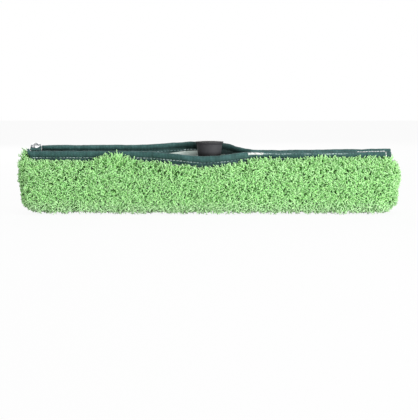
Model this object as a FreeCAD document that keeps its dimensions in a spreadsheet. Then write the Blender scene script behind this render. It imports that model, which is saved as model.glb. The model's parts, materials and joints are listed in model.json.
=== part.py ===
import FreeCAD, Part
import math
import os

import Sketcher
from FreeCAD import Placement, Rotation, Vector

# Window scrubber head: a pile sleeve on a T-bar with a swivelling pole socket.
# X runs along the bar, -Y is the front, +Z is up. The origin is under the middle, on the floor.

# Driving dimensions in millimetres, degrees or counts: alias, value, meaning.
SIZES = (
    ("bar_length", 434, "T-bar, tip to tip of the end caps"),
    ("bar_height", 30, "height of the bar's flat oval section"),
    ("bar_gauge", 18, "thickness of the bar from front to rear"),
    ("arm_wall", 1.6, "wall of the tubular arms"),
    ("hub_length", 64, "shoulder to shoulder of the moulded hub"),
    ("hub_gauge", 20, "thickness of the hub from front to rear"),
    ("spigot_length", 16, "how far the hub reaches into each arm"),
    ("spigot_gap", 0.1, "clearance round a spigot in its arm"),
    ("cap_flange", 3, "thickness of an end cap outside its arm"),
    ("cap_plug", 12, "how far an end cap reaches into its arm"),
    ("cap_round", 2, "rounding of an end cap's outer edge"),
    ("rivet_radius", 1.6, "shank of an arm rivet"),
    ("rivet_head_radius", 3, "head of an arm rivet"),
    ("rivet_head_height", 0.9, "how far a rivet head is sunk into the arm's wall"),
    ("pivot_rise", 4.6, "swivel axis above the top of the bar"),
    ("ear_radius", 7.5, "round top of the hub's two ears"),
    ("tongue_gauge", 8.6, "thickness of the socket's tongue between the ears"),
    ("tongue_room", 0.6, "slot clearance round the tongue's end"),
    ("disc_gauge", 0.7, "thickness of a friction disc"),
    ("disc_radius", 6.6, "outer radius of a friction disc"),
    ("pin_radius", 3, "shank of the pivot bolt"),
    ("running_gap", 0.05, "running clearance at the pivot"),
    ("head_radius", 4.8, "head of the pivot bolt"),
    ("head_height", 2.4, "height of the pivot bolt's head"),
    ("nut_radius", 4.9, "lock nut, over its corners"),
    ("nut_height", 4, "height of the lock nut"),
    ("bolt_proud", 0.5, "bolt end past the nut"),
    ("washer_radius", 5, "plain washer"),
    ("washer_gauge", 0.8, "thickness of a plain washer"),
    ("recess_radius", 5.4, "recess in an ear for the washer"),
    ("recess_depth", 2.2, "depth of that recess"),
    ("rim_radius", 16.8, "outside of the socket's rim"),
    ("rim_lip", 1.3, "straight height of the rim"),
    ("rim_flare", 2.4, "height of the flare under the rim"),
    ("rim_soft", 0.4, "rounding of the rim's edges"),
    ("neck_radius", 15.3, "neck just under the flare"),
    ("waist_radius", 14.5, "neck at its waist"),
    ("waist_drop", 11, "waist below the rim"),
    ("foot_radius", 11.8, "neck at its foot"),
    ("foot_rise", 9.6, "neck's foot above the swivel axis"),
    ("foot_bevel", 2.4, "bevel of the neck's foot"),
    ("bore_radius", 9.6, "bore for the pole tip"),
    ("bore_depth", 25, "depth of that bore"),
    ("bore_floor", 3.7, "floor between that bore and the neck's foot"),
    ("bore_lead", 1, "lead-in bevel at the bore's mouth"),
    ("pile_depth", 12, "pile with its backing"),
    ("end_depth", 12.2, "pile on the sleeve's ends"),
    ("left_end_rise", 10, "pile of the left end above the edges it closes"),
    ("right_end_rise", 5, "pile of the right end above the edges it closes"),
    ("lining_gauge", 1, "pale lining cloth"),
    ("cloth_gap", 0.3, "air between layers of cloth"),
    ("fit_gap", 0.4, "air between the bar and its cloth"),
    ("base_round", 11, "rounding of the sleeve along its base"),
    ("pile_edge", 5, "pile pressed flat under the binding"),
    ("pivot_room", 14.5, "half the room in the lining at the swivel axis"),
    ("edge_rise", 32, "front edge above the bar, at its highest"),
    ("front_drop", 5.5, "fall of the front edge in front of the socket"),
    ("rear_lift", 9.7, "rise of the rear edge over the front one, behind the socket"),
    ("seam_gap", 0.4, "gap between the two bindings where they are sewn together"),
    ("slit_ease", 1.7, "room between the socket's rim and each binding"),
    ("mouth_run", 35.2, "length of the slit's mouth past the socket's rim"),
    ("binding_height", 13, "binding tape, top to bottom"),
    ("binding_gauge", 5, "thickness of the binding's rolled edge"),
    ("flange_height", 5, "flat part of the binding under its stitch line"),
    ("flange_gauge", 3, "thickness of that flat part"),
    ("tail_length", 2.2, "turned-up tail at the front binding's left end"),
    ("tail_rise", 2.8, "height of that tail over the binding's crown"),
    ("tab_inset", 3, "tabs set in from the sleeve's left end"),
    ("tab_width", 12, "tabs along the sleeve"),
    ("tab_length", 15, "closure tab across the slit"),
    ("tab_round", 5.5, "rounding of the closure tab's two corners"),
    ("tab_gauge", 1.2, "thickness of both tabs"),
    ("tab_margin", 0.6, "gap between the tabs and what lies beside them"),
    ("tab_lift", 0.5, "air between the front binding and the closure tab"),
    ("tab_slope", 30, "slope of the tabs, in degrees"),
    ("snap_reach", 8.5, "press stud from the closure tab's fold"),
    ("cap_radius", 5.7, "press stud's cap"),
    ("cap_height", 2.2, "height of the cap's dome"),
    ("cap_rim", 0.7, "straight edge of the cap"),
    ("snap_socket_radius", 5, "press stud's spring socket"),
    ("snap_socket_height", 1.7, "height of the spring socket"),
    ("stem_radius", 1.5, "cap's stem through the closure tab"),
    ("stud_flange_radius", 5, "press stud's flange"),
    ("stud_flange_gauge", 0.4, "thickness of that flange"),
    ("stud_radius", 1.9, "press stud's knob"),
    ("stud_height", 1.4, "height of the knob above its flange"),
    ("stud_gap", 0.35, "clearance round the knob in its socket"),
    ("post_radius", 2.6, "press stud's back ring"),
    ("post_gauge", 0.5, "thickness of the back ring"),
    ("post_stem_radius", 1.3, "back ring's stem through the stud tab"),
    ("stem_gap", 0.05, "clearance round both stems in their tabs"),
    ("overrun", 5, "how far a cut runs past what it cuts"),
)

# Along the sleeve: the length a place is a share of, that share, then five shares that shape the slit there:
# how far the front and the rear edge are spread, how far the front edge falls and the rear edge rises,
# and how far the walls bulge round the swivel.
STATION_SHARES = (
    ("cloth", -1.00, 0.15, 0.15, 0.00, 0.63, 0.00),
    ("cloth", -0.70, 0.16, 0.18, 0.04, 0.66, 0.00),
    ("cloth", -0.44, 0.20, 0.25, 0.00, 0.68, 0.00),
    ("mouth", -1.30, 0.32, 0.42, 0.10, 0.76, 0.10),
    ("mouth", -0.85, 0.66, 0.72, 0.45, 0.92, 0.60),
    ("mouth", -0.50, 0.93, 0.96, 0.80, 1.00, 0.95),
    ("mouth", -0.20, 1.00, 1.00, 1.00, 1.00, 1.00),
    ("mouth", 0.20, 1.00, 1.00, 0.92, 0.93, 1.00),
    ("mouth", 0.48, 0.90, 0.93, 0.60, 0.70, 0.95),
    ("mouth", 0.62, 0.75, 0.75, 0.40, 0.47, 0.80),
    ("mouth", 0.85, 0.30, 0.30, 0.20, 0.20, 0.40),
    ("mouth", 1.00, 0.00, 0.00, 0.20, 0.08, 0.10),
    ("cloth", 0.52, 0.00, 0.00, 0.30, 0.07, 0.00),
    ("cloth", 1.00, 0.00, 0.00, 0.25, 0.21, 0.00),
)
# The sleeve's ends: depth shares of the pile there, with the outline's size at each.
END_SHARES = ((0.0, 1.0), (0.5, 0.975), (0.82, 0.90), (1.0, 0.78))
LINING_SHARE = 0.7  # how far the lining goes up a wall where the slit is shut
DOME_SHARE = 0.62  # where the cap's dome turns over, of its radius
HEAD_SHARE = 0.65  # where the bolt head's edge is bevelled, of its height and of its radius
KNOB_SHARE = 0.75  # the knob's tip, of its radius

doc = FreeCAD.newDocument("window_scrubber")
sheet = doc.addObject("Spreadsheet::Sheet", "sizes")
for row, (alias, value, meaning) in enumerate(SIZES, start=1):
    sheet.set(f"A{row}", alias)
    sheet.set(f"B{row}", str(value))
    sheet.setAlias(f"B{row}", alias)
    sheet.set(f"C{row}", meaning)
doc.recompute()


def size(alias):
    return float(sheet.get(alias))


# Expressions that more than one piece follows.
BAR_BASE = "(sizes.pile_depth + sizes.cloth_gap + sizes.lining_gauge + sizes.fit_gap)"
BAR_MID = f"({BAR_BASE} + sizes.bar_height / 2)"
BAR_TOP = f"({BAR_BASE} + sizes.bar_height)"
PIVOT = f"({BAR_TOP} + sizes.pivot_rise)"
BAR_RADIUS = "(sizes.bar_gauge / 2)"
BAR_STRAIGHT = "(sizes.bar_height / 2 - sizes.bar_gauge / 2)"
BORE_OF_ARM = f"({BAR_RADIUS} - sizes.arm_wall)"
PLUG_RADIUS = f"({BORE_OF_ARM} - sizes.spigot_gap)"
ARM_LENGTH = "(sizes.bar_length / 2 - sizes.hub_length / 2 - sizes.cap_flange)"
SLOT_WIDTH = "(sizes.tongue_gauge + 2 * sizes.disc_gauge + 4 * sizes.running_gap)"
PIN_BORE = "(sizes.pin_radius + sizes.running_gap)"
RIM = "(sizes.foot_rise + sizes.bore_floor + sizes.bore_depth)"
RIVET_PLACE = "(sizes.hub_length / 2 + sizes.spigot_length / 2)"
WASHER_SEAT = "(sizes.hub_gauge / 2 - sizes.recess_depth)"
HEAD_SEAT = f"({WASHER_SEAT} + sizes.washer_gauge)"

# The same heights as numbers, for the cloth, which is lofted in code.
bar_base = size("pile_depth") + size("cloth_gap") + size("lining_gauge") + size("fit_gap")
bar_top = bar_base + size("bar_height")
pivot = bar_top + size("pivot_rise")
edge_top = bar_top + size("edge_rise")
cloth_half = size("bar_length") / 2 + size("fit_gap")
mouth_half = size("rim_radius") + size("mouth_run")
slit_open = size("rim_radius") + size("slit_ease")


def new_body(label, place=("0", "0", "0"), turn=None):
    body = doc.addObject("PartDesign::Body", label)
    body.Label = label
    if turn:
        body.Placement = Placement(Vector(), turn)
    for axis, expression in zip("xyz", place):
        body.setExpression(f"Placement.Base.{axis}", expression)
    return body


def new_sketch(body, role, offset=None):
    sketch = body.newObject("Sketcher::SketchObject", "sketch")
    plane = next(p for p in body.Origin.OriginFeatures if p.Role == role)
    sketch.AttachmentSupport = [(plane, "")]
    sketch.MapMode = "FlatFace"
    if offset:
        sketch.setExpression("AttachmentOffset.Base.z", offset)
    return sketch


def constrain(sketch, expression, *terms):
    index = sketch.addConstraint(Sketcher.Constraint(*terms))
    sketch.setExpression(f"Constraints[{index}]", expression)


def polygon(sketch, corners):
    # The corners start on a unit ring, and the bound distances then place them.
    count = len(corners)
    ring = [Rotation(Vector(0, 0, 1), 360 * i / count).multVec(Vector(1, 0, 0)) for i in range(count)]
    first = sketch.GeometryCount
    for i in range(count):
        sketch.addGeometry(Part.LineSegment(ring[i], ring[(i + 1) % count]), False)
    for i in range(count):
        sketch.addConstraint(Sketcher.Constraint("Coincident", first + i, 2, first + (i + 1) % count, 1))
    for i, (across, up) in enumerate(corners):
        constrain(sketch, across, "DistanceX", -1, 1, first + i, 1, ring[i].x)
        constrain(sketch, up, "DistanceY", -1, 1, first + i, 1, ring[i].y)


def oval(sketch, straight, radius):
    # A flat oval, upright on the sketch's centre: two lines joined by two half circles.
    first = sketch.GeometryCount
    right, top, left, bottom = range(first, first + 4)
    up, out, back = Vector(0, 1, 0), Vector(1, 0, 0), Vector(0, 0, 1)
    sketch.addGeometry(Part.LineSegment(out - up, out + up), False)
    sketch.addGeometry(Part.ArcOfCircle(Part.Circle(up, back, 1), 0, math.pi), False)
    sketch.addGeometry(Part.LineSegment(up - out, -out - up), False)
    sketch.addGeometry(Part.ArcOfCircle(Part.Circle(-up, back, 1), math.pi, 2 * math.pi), False)
    for a, b in ((right, top), (top, left), (left, bottom), (bottom, right)):
        sketch.addConstraint(Sketcher.Constraint("Tangent", a, 2, b, 1))
    sketch.addConstraint(Sketcher.Constraint("Equal", top, bottom))
    for arc in (top, bottom):
        sketch.addConstraint(Sketcher.Constraint("PointOnObject", arc, 3, -2))
    constrain(sketch, straight, "DistanceY", -1, 1, top, 3, 1)
    constrain(sketch, straight, "DistanceY", bottom, 3, -1, 1, 1)
    constrain(sketch, radius, "Radius", top, 1)


def circle(sketch, radius, across="0", up="0"):
    index = sketch.addGeometry(Part.Circle(Vector(), Vector(0, 0, 1), 1), False)
    constrain(sketch, across, "DistanceX", -1, 1, index, 3, 0)
    constrain(sketch, up, "DistanceY", -1, 1, index, 3, 0)
    constrain(sketch, radius, "Radius", index, 1)


def solid_feature(body, kind, sketch, length, midplane=False, reverse=False):
    feature = body.newObject(f"PartDesign::{kind}", kind.lower())
    feature.Profile = sketch
    feature.setExpression("Length", length)
    feature.Midplane = midplane
    feature.Reversed = reverse
    sketch.Visibility = False
    doc.recompute()
    return feature


def pad(body, sketch, length, **how):
    return solid_feature(body, "Pad", sketch, length, **how)


def pocket(body, sketch, length, **how):
    before = body.Shape.Volume
    feature = solid_feature(body, "Pocket", sketch, length, **how)
    if body.Shape.Volume >= before:
        raise RuntimeError(f"a pocket in {body.Label} cuts nothing")
    return feature


def revolve(body, corners):
    # The corners are radius and height on the XZ plane, turned about the body's own Z axis.
    sketch = new_sketch(body, "XZ_Plane")
    polygon(sketch, corners)
    feature = body.newObject("PartDesign::Revolution", "revolution")
    feature.Profile = sketch
    feature.ReferenceAxis = (sketch, ["V_Axis"])
    feature.Angle = 360
    sketch.Visibility = False
    doc.recompute()
    return feature


def rectangle(left, right, low, high):
    return ((left, low), (right, low), (right, high), (left, high))


def round_edges(body, radius, wanted):
    base = body.Tip
    edges = [f"Edge{i}" for i, edge in enumerate(base.Shape.Edges, start=1) if wanted(edge)]
    fillet = body.newObject("PartDesign::Fillet", "fillet")
    fillet.Base = (base, edges)
    fillet.setExpression("Radius", radius)
    doc.recompute()
    return fillet


def group(label, members):
    compound = doc.addObject("Part::Compound", label)
    compound.Label = label
    compound.Links = members
    doc.recompute()
    return compound


def ring(name, inner, outer, thickness, place_y):
    # A flat ring round the pivot, lying between two planes across Y.
    body = new_body(name, ("0", place_y, PIVOT))
    sketch = new_sketch(body, "XZ_Plane")
    circle(sketch, outer)
    circle(sketch, inner)
    pad(body, sketch, thickness, midplane=True)
    return body


# T-bar: two tubular arms pushed on a moulded hub, with plugged ends

def make_arm(label, side):
    inner_end = f"{side} * sizes.hub_length / 2"
    body = new_body(label, (inner_end, "0", BAR_MID))
    sketch = new_sketch(body, "YZ_Plane")
    oval(sketch, BAR_STRAIGHT, BAR_RADIUS)
    oval(sketch, BAR_STRAIGHT, BORE_OF_ARM)
    pad(body, sketch, ARM_LENGTH, reverse=side < 0)
    hole = new_sketch(body, "XZ_Plane")
    circle(hole, "sizes.rivet_radius", f"{side} * sizes.spigot_length / 2")
    pocket(body, hole, "sizes.bar_gauge + sizes.overrun", midplane=True)
    for face in (1, -1):
        sink = new_sketch(body, "XZ_Plane", f"{face} * ({BAR_RADIUS} - sizes.rivet_head_height)")
        circle(sink, "sizes.rivet_head_radius", f"{side} * sizes.spigot_length / 2")
        pocket(body, sink, "sizes.overrun", reverse=face > 0)
    return body


def make_end_cap(label, side):
    body = new_body(label, (f"{side} * (sizes.bar_length / 2 - sizes.cap_flange)", "0", BAR_MID))
    flange = new_sketch(body, "YZ_Plane")
    oval(flange, BAR_STRAIGHT, BAR_RADIUS)
    pad(body, flange, "sizes.cap_flange", reverse=side < 0)
    outer_face = side * size("cap_flange")
    round_edges(body, "sizes.cap_round",
                lambda edge: all(abs(v.Point.x - outer_face) < size("spigot_gap") for v in edge.Vertexes))
    plug = new_sketch(body, "YZ_Plane")
    oval(plug, BAR_STRAIGHT, PLUG_RADIUS)
    pad(body, plug, "sizes.cap_plug", reverse=side > 0)
    return body


def make_hub():
    body = new_body("swivel_hub", ("0", "0", BAR_MID))
    block = new_sketch(body, "YZ_Plane")
    oval(block, "(sizes.bar_height / 2 - sizes.hub_gauge / 2)", "(sizes.hub_gauge / 2)")
    pad(body, block, "sizes.hub_length", midplane=True)
    spigots = new_sketch(body, "YZ_Plane")
    oval(spigots, BAR_STRAIGHT, PLUG_RADIUS)
    pad(body, spigots, "sizes.hub_length + 2 * sizes.spigot_length", midplane=True)
    axis_height = "(sizes.bar_height / 2 + sizes.pivot_rise)"
    ear_stem = new_sketch(body, "XZ_Plane")
    polygon(ear_stem, rectangle("-sizes.ear_radius", "sizes.ear_radius", "0", axis_height))
    pad(body, ear_stem, "sizes.hub_gauge", midplane=True)
    ear_top = new_sketch(body, "XZ_Plane")
    circle(ear_top, "sizes.ear_radius", up=axis_height)
    pad(body, ear_top, "sizes.hub_gauge", midplane=True)
    slot_half = "(sizes.ear_radius + sizes.tongue_room)"
    slot = new_sketch(body, "XZ_Plane")
    polygon(slot, rectangle(f"-{slot_half}", slot_half, f"{axis_height} - {slot_half}",
                            f"{axis_height} + sizes.ear_radius + sizes.overrun"))
    pocket(body, slot, SLOT_WIDTH, midplane=True)
    pin_hole = new_sketch(body, "XZ_Plane")
    circle(pin_hole, PIN_BORE, up=axis_height)
    pocket(body, pin_hole, "sizes.hub_gauge + sizes.overrun", midplane=True)
    for face in (1, -1):
        recess = new_sketch(body, "XZ_Plane", f"{face} * {WASHER_SEAT}")
        circle(recess, "sizes.recess_radius", up=axis_height)
        pocket(body, recess, "sizes.overrun", reverse=face > 0)
    for side in (1, -1):
        rivet_hole = new_sketch(body, "XZ_Plane")
        circle(rivet_hole, "sizes.rivet_radius", f"{side} * {RIVET_PLACE}")
        pocket(body, rivet_hole, "sizes.bar_gauge + sizes.overrun", midplane=True)
    return body


def make_rivet(name, side):
    body = new_body(name, (f"{side} * {RIVET_PLACE}", "0", BAR_MID))
    shank = new_sketch(body, "XZ_Plane")
    circle(shank, "sizes.rivet_radius")
    pad(body, shank, "sizes.bar_gauge", midplane=True)
    for face in (1, -1):
        head = new_sketch(body, "XZ_Plane", f"{face} * {BAR_RADIUS}")
        circle(head, "sizes.rivet_head_radius")
        pad(body, head, "sizes.rivet_head_height", reverse=face < 0)
    return body


# Swivel: the socket's tongue between the hub's ears, on one bolt

def make_pole_socket():
    body = new_body("pole_socket", ("0", "0", PIVOT))
    bore_foot = "(sizes.foot_rise + sizes.bore_floor)"
    flare_foot = f"({RIM} - sizes.rim_lip - sizes.rim_flare)"
    revolve(body, (
        ("0", "sizes.foot_rise"),
        ("sizes.foot_radius - sizes.foot_bevel", "sizes.foot_rise"),
        ("sizes.foot_radius", "sizes.foot_rise + sizes.foot_bevel"),
        ("sizes.waist_radius", f"{RIM} - sizes.waist_drop"),
        ("sizes.neck_radius", flare_foot),
        ("sizes.rim_radius", f"{RIM} - sizes.rim_lip"),
        ("sizes.rim_radius", RIM),
        ("sizes.bore_radius + sizes.bore_lead", RIM),
        ("sizes.bore_radius", f"{RIM} - sizes.bore_lead"),
        ("sizes.bore_radius", bore_foot),
        ("0", bore_foot),
    ))
    rim = size("foot_rise") + size("bore_floor") + size("bore_depth")
    rim_places = (rim, rim - size("rim_lip"))
    round_edges(body, "sizes.rim_soft", lambda edge: (
        edge.Curve.TypeId == "Part::GeomCircle"
        and abs(edge.Curve.Radius - size("rim_radius")) < size("running_gap")
        and any(abs(edge.Curve.Center.z - place) < size("running_gap") for place in rim_places)))
    stem = new_sketch(body, "XZ_Plane")
    stem_top = "sizes.foot_rise + sizes.foot_bevel / 2"
    polygon(stem, rectangle("-sizes.ear_radius", "sizes.ear_radius", "0", stem_top))
    pad(body, stem, "sizes.tongue_gauge", midplane=True)
    end = new_sketch(body, "XZ_Plane")
    circle(end, "sizes.ear_radius")
    pad(body, end, "sizes.tongue_gauge", midplane=True)
    pin_hole = new_sketch(body, "XZ_Plane")
    circle(pin_hole, PIN_BORE)
    pocket(body, pin_hole, "sizes.tongue_gauge + sizes.overrun", midplane=True)
    return body


def make_pivot_bolt():
    # Turned so that its own Z axis points to the front, where its head is.
    body = new_body("pivot_bolt", ("0", "0", PIVOT), Rotation(Vector(1, 0, 0), 90))
    tail = f"-({HEAD_SEAT} + sizes.nut_height + sizes.bolt_proud)"
    revolve(body, (
        ("0", tail),
        ("sizes.pin_radius", tail),
        ("sizes.pin_radius", HEAD_SEAT),
        ("sizes.head_radius", HEAD_SEAT),
        ("sizes.head_radius", f"{HEAD_SEAT} + sizes.head_height * {HEAD_SHARE}"),
        (f"sizes.head_radius * {HEAD_SHARE}", f"{HEAD_SEAT} + sizes.head_height"),
        ("0", f"{HEAD_SEAT} + sizes.head_height"),
    ))
    return body


def make_pivot_nut():
    prism = doc.addObject("Part::Prism", "nut_prism")
    prism.Polygon = 6
    prism.setExpression("Circumradius", "sizes.nut_radius")
    prism.setExpression("Height", "sizes.nut_height")
    thread = doc.addObject("Part::Cylinder", "nut_thread")
    thread.setExpression("Radius", PIN_BORE)
    thread.setExpression("Height", "sizes.nut_height")
    nut = doc.addObject("Part::Cut", "pivot_nut")
    nut.Label = "pivot_nut"
    nut.Base, nut.Tool = prism, thread
    nut.Placement = Placement(Vector(), Rotation(Vector(1, 0, 0), -90))
    nut.setExpression("Placement.Base.y", HEAD_SEAT)
    nut.setExpression("Placement.Base.z", PIVOT)
    doc.recompute()
    return nut


def make_rings():
    washer_mid = f"({WASHER_SEAT} + sizes.washer_gauge / 2)"
    disc_mid = f"({SLOT_WIDTH} / 2 - sizes.running_gap - sizes.disc_gauge / 2)"
    washers, discs = [], []
    for face, word in ((-1, "front"), (1, "rear")):
        washers.append(ring(f"{word}_washer", PIN_BORE, "sizes.washer_radius", "sizes.washer_gauge",
                            f"{face} * {washer_mid}"))
        discs.append(ring(f"{word}_disc", PIN_BORE, "sizes.disc_radius", "sizes.disc_gauge",
                          f"{face} * {disc_mid}"))
    return [group("pivot_washers", washers), group("friction_discs", discs)]


# Sleeve: lofted cloth, whose sections follow the slit's two edges

def stations():
    reach = {"cloth": cloth_half, "mouth": mouth_half}
    return [(reach[kind] * share, *shares) for kind, share, *shares in STATION_SHARES]


def shares_at(x):
    rows = stations()
    for low, high in zip(rows, rows[1:]):
        if x <= high[0]:
            part = (x - low[0]) / (high[0] - low[0])
            return [a + part * (b - a) for a, b in zip(low[1:], high[1:])]
    return list(rows[-1][1:])


def slit(x):
    # Half the slit and the top of the bound edge, for the front and for the rear, and the bulge's share.
    front_open, rear_open, front_fall, rear_rise, bulge = shares_at(x)
    shut = size("seam_gap") / 2
    halves = [shut + share * (slit_open - shut) for share in (front_open, rear_open)]
    tops = [edge_top - front_fall * size("front_drop"), edge_top + rear_rise * size("rear_lift")]
    return halves, tops, bulge


def pile_top(top):
    return top - size("binding_height") - size("cloth_gap")


def at(x, y, z):
    return Vector(x, y, z)


def wire(x, pieces):
    # Each piece is two points for a line or three for an arc, as (y, z) pairs.
    edges = []
    for piece in pieces:
        points = [at(x, *p) for p in piece]
        edges.append((Part.LineSegment(*points) if len(points) == 2 else Part.Arc(*points)).toShape())
    return Part.Wire(edges)


def lined(points):
    return list(zip(points, points[1:]))


def shoulder(wall, edge):
    # The middle of an arc that leaves the wall upright and leans in to the edge.
    lean, rise = edge[0] - wall[0], edge[1] - wall[1]
    share = math.tan(math.atan2(lean, rise) / 2) / 2
    return (wall[0] + lean / 2 - share * rise, wall[1] + rise / 2 + share * lean)


def outer_skin(x):
    # The pile's outside from the front edge, down round the base and up to the rear edge.
    (front_half, rear_half), (front_top, rear_top), bulge = slit(x)
    wall = inner_wall(bulge)
    low, middle = wall[0] + size("pile_depth"), wall[1] + size("pile_depth")
    base = size("base_round")
    front_edge = (-front_half - size("pile_edge"), pile_top(front_top))
    rear_edge = (rear_half + size("pile_edge"), pile_top(rear_top))
    turn = base * (1 - math.sqrt(0.5))
    front_low, rear_low = (-low, base), (low, base)
    front_base, rear_base = (-low + base, 0), (low - base, 0)
    return [
        (front_edge, shoulder((-middle, pivot), front_edge), (-middle, pivot)),
        ((-middle, pivot), front_low),
        (front_low, (-low + turn, turn), front_base),
        (front_base, rear_base),
        (rear_base, (low - turn, turn), rear_low),
        (rear_low, (middle, pivot)),
        ((middle, pivot), shoulder((middle, pivot), rear_edge), rear_edge),
    ]


def inner_wall(bulge):
    # Half the room inside the pile, at its base and at the swivel axis.
    low = size("bar_gauge") / 2 + size("fit_gap") + size("lining_gauge") + size("cloth_gap")
    room = size("pivot_room") + size("lining_gauge") + size("cloth_gap")
    return low, low + bulge * (room - low)


def inner_skin(x, inset, reaches=(1, 1)):
    # The inside from the rear edge, down across the base and up to the front edge, moved in by inset.
    # The reaches are how far the front and the rear wall go from the swivel axis to their edges.
    halves, tops, bulge = slit(x)
    low, middle = inner_wall(bulge)
    base = size("pile_depth") + inset
    ends = [(middle + reach * (half - middle) - inset, pivot + reach * (pile_top(top) - pivot))
            for half, top, reach in zip(halves, tops, reaches)]
    return [ends[1], (middle - inset, pivot), (low - inset, base),
            (inset - low, base), (inset - middle, pivot), (-ends[0][0], ends[0][1])]


def pile_section(x):
    skin = outer_skin(x)
    inside = inner_skin(x, 0)
    return wire(x, skin + lined([skin[-1][-1], *inside, skin[0][0]]))


def lining_section(x):
    # Where the slit is shut the lining stops short, so that its two sides stay apart.
    reaches = [LINING_SHARE + (1 - LINING_SHARE) * share for share in shares_at(x)[:2]]
    outside = inner_skin(x, size("cloth_gap"), reaches)
    inside = inner_skin(x, size("cloth_gap") + size("lining_gauge"), reaches)
    return wire(x, lined([*outside, *reversed(inside), outside[0]]))


def end_outline(x, side, rise, depth_share, scale_share):
    # The sleeve's outline with a crown between its edges, drawn in to its middle as the end rounds over.
    skin = outer_skin(side * cloth_half)
    front_edge, rear_edge = skin[0][0], skin[-1][-1]
    top = (front_edge[1] + rear_edge[1]) / 2
    outline = skin + [(rear_edge, ((front_edge[0] + rear_edge[0]) / 2, top + rise), front_edge)]
    middle = top / 2
    place = side * (cloth_half + x + depth_share * size("end_depth"))
    return wire(place, [[(y * scale_share, middle + (z - middle) * scale_share) for y, z in piece]
                        for piece in outline])


def cloth(label, sections):
    feature = doc.addObject("Part::Feature", label)
    feature.Label = label
    feature.Shape = Part.makeLoft(sections, True, True)
    return feature


def places(start, end):
    return [start, *(row[0] for row in stations() if start < row[0] < end), end]


def binding_section(x, face, rise=0):
    # A rolled edge on a flat flange; face is 0 for the front binding and 1 for the rear one.
    halves, tops, _ = slit(x)
    sign = (-1, 1)[face]
    middle = sign * (halves[face] + size("binding_gauge") / 2)
    roll, flat = size("binding_gauge") / 2, size("flange_gauge") / 2
    low = tops[face] - size("binding_height")
    neck = low + size("flange_height")
    crown = tops[face] + rise
    side_top = crown - roll
    diagonal = roll * math.sqrt(0.5)
    return wire(x, [
        ((middle - flat, low), (middle + flat, low)),
        ((middle + flat, low), (middle + flat, neck)),
        ((middle + flat, neck), (middle + roll, neck + roll - flat)),
        ((middle + roll, neck + roll - flat), (middle + roll, side_top)),
        ((middle + roll, side_top), (middle + diagonal, side_top + diagonal), (middle, crown)),
        ((middle, crown), (middle - diagonal, side_top + diagonal), (middle - roll, side_top)),
        ((middle - roll, side_top), (middle - roll, neck + roll - flat)),
        ((middle - roll, neck + roll - flat), (middle - flat, neck)),
        ((middle - flat, neck), (middle - flat, low)),
    ])


def make_sleeve():
    along = places(-cloth_half, cloth_half)
    tail_end = -cloth_half + size("tail_length")
    tail = [binding_section(x, 0, size("tail_rise")) for x in (-cloth_half, tail_end)]
    band = [binding_section(x, 0) for x in places(tail_end + size("cloth_gap"), cloth_half)]
    rear_start = -cloth_half + size("tab_inset") + size("tab_width") + size("tab_margin")
    made = [
        cloth("pile_sleeve", [pile_section(x) for x in along]),
        cloth("sleeve_lining", [lining_section(x) for x in along]),
        cloth("front_binding", tail + band),
        cloth("rear_binding", [binding_section(x, 1) for x in places(rear_start, cloth_half)]),
    ]
    for word, side in (("left", -1), ("right", 1)):
        rise = size(f"{word}_end_rise")
        made.append(cloth(f"{word}_end_panel",
                          [end_outline(size("cloth_gap"), side, rise, *shares) for shares in END_SHARES]))
    return made


# Closure: a tab over the left end of the slit, held by a press stud

tab_middle = -cloth_half + size("tab_inset") + size("tab_width") / 2
left_halves, left_tops, _ = slit(tab_middle)
fold = at(0, -left_halves[0] - size("binding_gauge") / 2, left_tops[0] + size("tab_lift"))
tab_turn = Rotation(Vector(1, 0, 0), size("tab_slope"))
stud_seat = -size("snap_socket_height") - size("cloth_gap") - size("stud_flange_gauge")


def on_tab(along, up):
    # A point of the tabs' own plane, measured from the fold, in the part's frame at the tabs' middle.
    return at(tab_middle, 0, 0) + fold + tab_turn.multVec(at(0, along, up))


def strip(label, outline, hole_radius):
    # A strip of tape as wide as the tab, from its outline across the slit, pierced for the press stud.
    corners = [p - at(size("tab_width") / 2, 0, 0) for p in outline]
    face = Part.Face(Part.makePolygon([*corners, corners[0]]))
    reach = size("tab_length")
    hole = Part.makeCylinder(hole_radius + size("stem_gap"), 2 * reach, on_tab(size("snap_reach"), -reach),
                             tab_turn.multVec(at(0, 0, 1)))
    feature = doc.addObject("Part::Feature", label)
    feature.Label = label
    feature.Shape = face.extrude(at(size("tab_width"), 0, 0)).cut(hole)
    return feature


def make_tabs():
    gauge, length = size("tab_gauge"), size("tab_length")
    closure = strip("closure_tab", [on_tab(0, 0), on_tab(length, 0), on_tab(length, gauge), on_tab(0, gauge)],
                    size("stem_radius"))
    aside = at(size("tab_width") / 2, 0, 0)
    corners = [on_tab(length, gauge / 2) + aside, on_tab(length, gauge / 2) - aside]
    closure.Shape = closure.Shape.makeFillet(size("tab_round"), [
        edge for edge in closure.Shape.Edges
        if any((edge.CenterOfMass - corner).Length < size("stem_gap") for corner in corners)])
    # The stud tab stands on the rear wall's edge and leans forward under the closure tab.
    foot = pile_top(left_tops[1]) + size("cloth_gap")
    front = fold.y + size("binding_gauge") / 2 + size("cloth_gap")
    rear = left_halves[1] + size("pile_edge") - size("cloth_gap")
    angle = math.radians(size("tab_slope"))

    def plate(y, level):
        return at(tab_middle, y, fold.z + (y - fold.y) * math.tan(angle) + level / math.cos(angle))

    stud = strip("stud_tab", [
        plate(front, stud_seat), plate(rear, stud_seat), at(tab_middle, rear, foot),
        at(tab_middle, rear - gauge, foot), plate(rear - gauge, stud_seat - gauge),
        plate(front, stud_seat - gauge)], size("post_stem_radius"))
    return [closure, stud]


def snap_part(label, height, corners):
    # A turned piece of the press stud, whose own Z axis stands square on the tabs.
    body = doc.addObject("PartDesign::Body", label)
    body.Label = label
    body.Placement = Placement(on_tab(size("snap_reach"), height), tab_turn)
    revolve(body, corners)
    return body


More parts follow.
